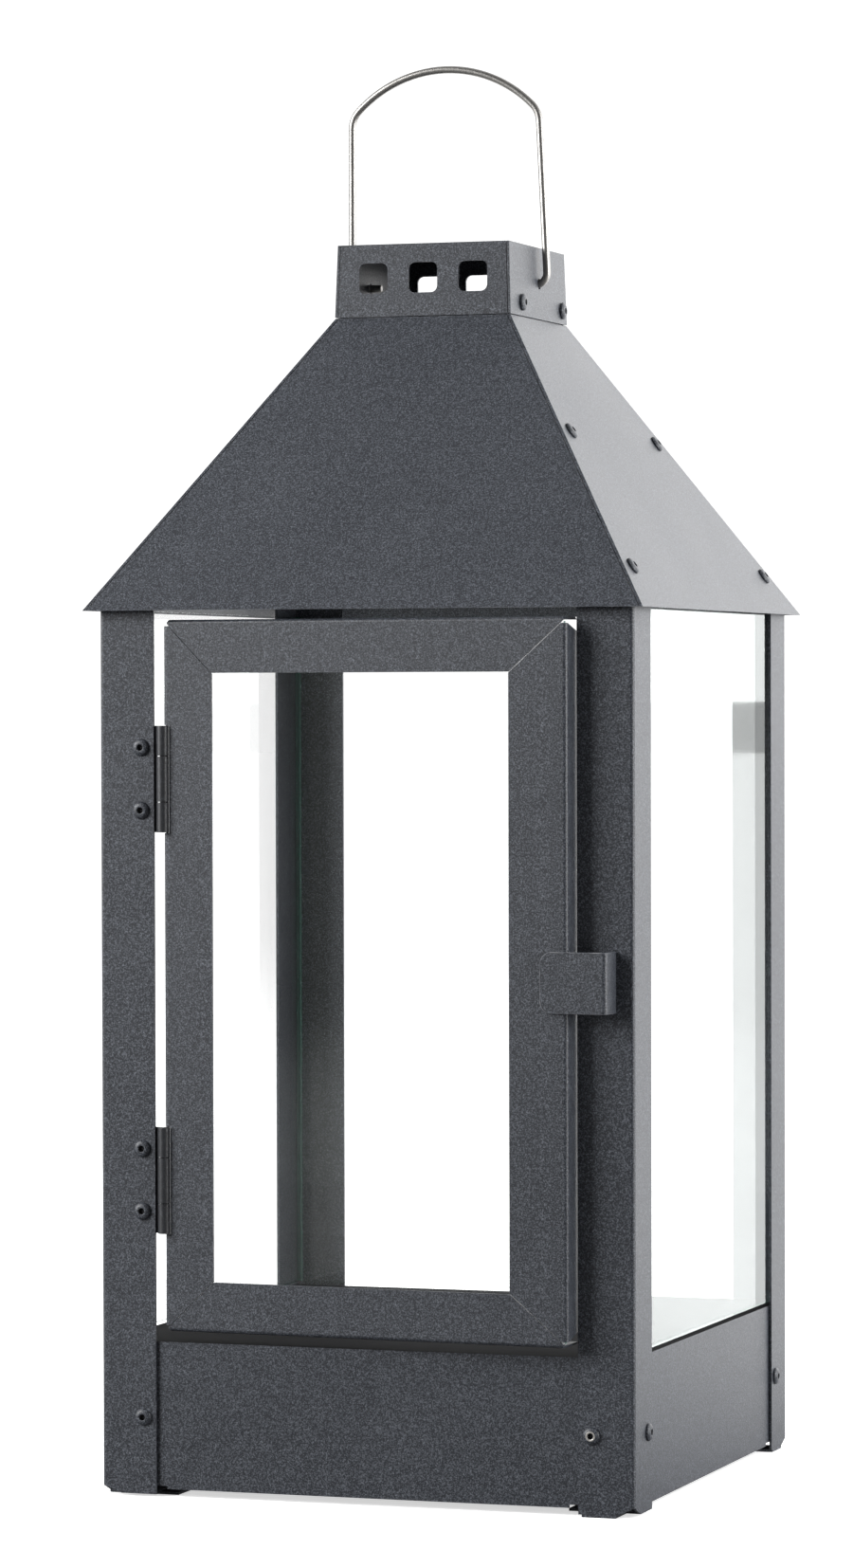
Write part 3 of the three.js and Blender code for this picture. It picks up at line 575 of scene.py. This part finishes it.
class LANTERN_OT_bail(bpy.types.Operator):
    """Bends the bail from one length of wire"""

    bl_idname = "lantern.bail"
    bl_label = "Wire Bail"

    def route(self, sizes):
        """The wire's straight runs and bends in the XZ plane, from its left end to its right."""
        low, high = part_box("bail_handle")
        packed = 1.5 * MM
        pivot = low.z + packed
        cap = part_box("cap_side_right")[1].x
        left, right = low.x + packed, high.x - packed
        lean, bulge, skew = 3.4 * MM, 12 * MM, 0.2 * MM
        radius = (right - lean - left) / 2 + bulge
        crown = Vector(((left + right - lean) / 2 + skew, high.z - packed - radius))
        small, bend = sizes.shoulder, sizes.foot_bend
        slope = math.atan2(0.91 * lean, crown.y + 0.6 * radius - pivot)

        # A shoulder touches its leg from inside and the arch from below.
        def shoulder(foot, along, inward):
            start = foot + inward * small
            offset = start - crown
            reach = radius - small
            half = offset.dot(along)
            rise = -half + math.sqrt(half * half - offset.dot(offset) + reach * reach)
            return start + along * rise

        up_left, up_right = Vector((0, 1)), Vector((-math.sin(slope), math.cos(slope)))
        centre_left = shoulder(Vector((left, pivot)), up_left, Vector((1, 0)))
        inward = Vector((-math.cos(slope), -math.sin(slope)))
        centre_right = shoulder(Vector((right, pivot)), up_right, inward)
        turn_left = math.pi - math.atan2(*(centre_left - crown).yx)
        turn_right = math.atan2(*(centre_right - crown).yx) - slope
        arch = math.pi - turn_left - turn_right - slope
        inside = 6 * MM
        right_bend_top = Vector((right, pivot)) + up_right * bend
        right_bend = right_bend_top + inward * bend
        return [
            ("start", Vector((-cap + inside, pivot))),
            ("to", Vector((left + bend, pivot))),
            ("bend", Vector((left + bend, pivot + bend)), math.pi / 2, 8),
            ("to", Vector((left, centre_left.y))),
            ("bend", centre_left, turn_left, 8),
            ("bend", crown, arch, 28),
            ("bend", centre_right, turn_right, 8),
            ("to", right_bend_top),
            ("bend", right_bend, math.pi / 2 + slope, 8),
            ("to", Vector((cap - inside, right_bend.y - bend))),
        ]

    def execute(self, context):
        sizes = context.scene.lantern_sizes
        low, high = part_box("bail_handle")
        depth = (low.y + high.y) / 2
        mesh = bmesh.new()
        moves = self.route(sizes)
        here = moves[0][1]
        place = Matrix.Translation((here.x, depth, here.y)) @ Matrix.Rotation(math.pi / 2, 4, "Y")
        ring = bmesh.ops.create_circle(
            mesh, segments=sizes.wire_sides, radius=sizes.wire, cap_ends=False, matrix=place)["verts"]
        edges = list(dict.fromkeys(edge for vert in ring for edge in vert.link_edges))
        ends = [list(edges)]
        for kind, spot, *bend in moves[1:]:
            if kind == "to":
                moved = bmesh.ops.extrude_edge_only(mesh, edges=edges)["geom"]
                verts = [item for item in moved if isinstance(item, bmesh.types.BMVert)]
                bmesh.ops.translate(mesh, verts=verts, vec=(spot.x - here.x, 0, spot.y - here.y))
                edges = [item for item in moved if isinstance(item, bmesh.types.BMEdge)]
                edges = [edge for edge in edges if all(vert in verts for vert in edge.verts)]
                here = spot
            else:
                angle, steps = bend
                rim = list(dict.fromkeys(vert for edge in edges for vert in edge.verts))
                spun = bmesh.ops.spin(
                    mesh, geom=rim + edges, cent=(spot.x, depth, spot.y), axis=(0, 1, 0),
                    angle=angle, steps=steps)["geom_last"]
                edges = [e for e in spun if isinstance(e, bmesh.types.BMEdge)]
                turned = Matrix.Rotation(-angle, 2)
                here = spot + turned @ (here - spot)
        ends.append(edges)
        for rim in ends:
            bmesh.ops.contextual_create(mesh, geom=rim)
        bmesh.ops.recalc_face_normals(mesh, faces=mesh.faces)
        caps = [face for face in mesh.faces if len(face.verts) > 4]
        rims = list(dict.fromkeys(edge for face in caps for edge in face.edges))
        bmesh.ops.bevel(
            mesh, geom=rims, offset=0.25 * MM, offset_type="OFFSET", segments=2, profile=0.5,
            affect="EDGES", material=-1)
        for face in mesh.faces:
            face.smooth = len(face.verts) <= 4
        finish_piece("wire_bail", mesh, "bail_handle", [drawn_wire("stainless_wire")])
        return {"FINISHED"}


class LANTERN_OT_stage(bpy.types.Operator):
    """Sets the floor, the soft lights and the camera"""

    bl_idname = "lantern.stage"
    bl_label = "Stage"

    YAW = math.radians(18.700)
    PITCH = math.radians(1.293)
    ROLL = math.radians(-0.138)
    DISTANCE = 2.12005
    TARGET = Vector((0, 0, 0.25))
    LENS = 125.2
    SHIFT = (-0.0172, 0.0281)
    # Where the studio is brightest, seen from the lantern.
    BACKDROP = (0.3, 0.95, 0)

    def floor(self):
        mesh = bmesh.new()
        bmesh.ops.create_grid(mesh, x_segments=4, y_segments=4, size=30)
        data = bpy.data.meshes.new("studio_floor")
        mesh.to_mesh(data)
        mesh.free()
        data.materials.append(floor_paint("pale_floor"))
        floor = bpy.data.objects.new("studio_floor", data)
        bpy.context.scene.collection.objects.link(floor)

    def softbox(self, name, place, aim, size, power):
        data = bpy.data.lights.new(name, "AREA")
        data.shape = "RECTANGLE"
        data.size, data.size_y = size
        data.energy = power
        lamp = bpy.data.objects.new(name, data)
        lamp.location = place
        lamp.rotation_euler = (Vector(aim) - Vector(place)).to_track_quat("-Z", "Y").to_euler()
        bpy.context.scene.collection.objects.link(lamp)

    def sky(self, lights):
        """A bright backdrop behind the lantern, dim in front, and plain white to the camera."""
        world = bpy.data.worlds.new("studio")
        world.use_nodes = True
        net = Nodes(world.node_tree)
        sockets = {0: net.place("Generated"), 1: self.BACKDROP}
        behind = net.out("ShaderNodeVectorMath", {"operation": "DOT_PRODUCT"}, sockets, "Value")
        thrown = lights.sky_front + (lights.sky_back - lights.sky_front) * behind.band(-0.5, 0.6)
        seen = net.out("ShaderNodeLightPath", {}, {}, "Is Camera Ray")
        background = net.tree.nodes["Background"]
        net.put(background.inputs["Color"], (1, 1, 1))
        net.put(background.inputs["Strength"], seen * lights.sky_seen + (1 - seen) * thrown)
        bpy.context.scene.world = world

    def camera(self):
        yaw, pitch, roll = self.YAW, self.PITCH, self.ROLL
        level = Vector((math.cos(yaw), math.sin(yaw), 0))
        flat_ahead = Vector((-math.sin(yaw), math.cos(yaw), 0))
        ahead = flat_ahead * math.cos(pitch) - Vector((0, 0, math.sin(pitch)))
        up = level.cross(ahead)
        right = level * math.cos(roll) + up * math.sin(roll)
        above = up * math.cos(roll) - level * math.sin(roll)
        data = bpy.data.cameras.new("camera")
        data.sensor_width = 36
        data.lens = self.LENS
        data.shift_x, data.shift_y = self.SHIFT
        data.clip_start, data.clip_end = 0.05, 100
        camera = bpy.data.objects.new("camera", data)
        turn = Matrix((right, above, -ahead)).transposed().to_4x4()
        camera.matrix_world = Matrix.Translation(self.TARGET - ahead * self.DISTANCE) @ turn
        bpy.context.scene.collection.objects.link(camera)
        bpy.context.scene.camera = camera

    def execute(self, context):
        lights = context.scene.lantern_lights
        self.floor()
        self.sky(lights)
        self.softbox("back_light", (1.5, 2.6, 1.9), (0, 0, 1.9), (4.0, 3.2), lights.back)
        self.softbox("side_light", (1.6, -0.1, 0.5), (0, -0.1, 0.25), (0.8, 1.3), lights.side)
        self.softbox("fill_light", (-1.9, -1.5, 1.2), (0, 0, 0.25), (1.5, 1.5), lights.fill)
        self.camera()
        context.scene.view_settings.view_transform = "Standard"
        return {"FINISHED"}


class LANTERN_PT_panel(bpy.types.Panel):
    """Lists the lantern's settings and steps"""

    bl_idname = "LANTERN_PT_panel"
    bl_label = "Candle Lantern"
    bl_space_type = "VIEW_3D"
    bl_region_type = "UI"
    bl_category = "Lantern"

    def draw(self, context):
        layout = self.layout
        scene = context.scene
        for group in (scene.lantern_sizes, scene.lantern_colours, scene.lantern_lights):
            for name in group.__annotations__:
                layout.prop(group, name)
        for step in STEPS:
            layout.operator(step.bl_idname)


STEPS = (
    LANTERN_OT_sheet_metal,
    LANTERN_OT_glazing,
    LANTERN_OT_hinges,
    LANTERN_OT_rivets,
    LANTERN_OT_bail,
    LANTERN_OT_stage,
)
CLASSES = (LanternSizes, LanternColours, LanternLights, *STEPS, LANTERN_PT_panel)


def register():
    for item in CLASSES:
        bpy.utils.register_class(item)
    bpy.types.Scene.lantern_sizes = PointerProperty(type=LanternSizes)
    bpy.types.Scene.lantern_colours = PointerProperty(type=LanternColours)
    bpy.types.Scene.lantern_lights = PointerProperty(type=LanternLights)


def unregister():
    del bpy.types.Scene.lantern_lights
    del bpy.types.Scene.lantern_colours
    del bpy.types.Scene.lantern_sizes
    for item in reversed(CLASSES):
        bpy.utils.unregister_class(item)


def main():
    register()
    bpy.ops.lantern.sheet_metal()
    bpy.ops.lantern.glazing()
    bpy.ops.lantern.hinges()
    bpy.ops.lantern.rivets()
    bpy.ops.lantern.bail()
    bpy.ops.lantern.stage()


if __name__ == "__main__":
    main()
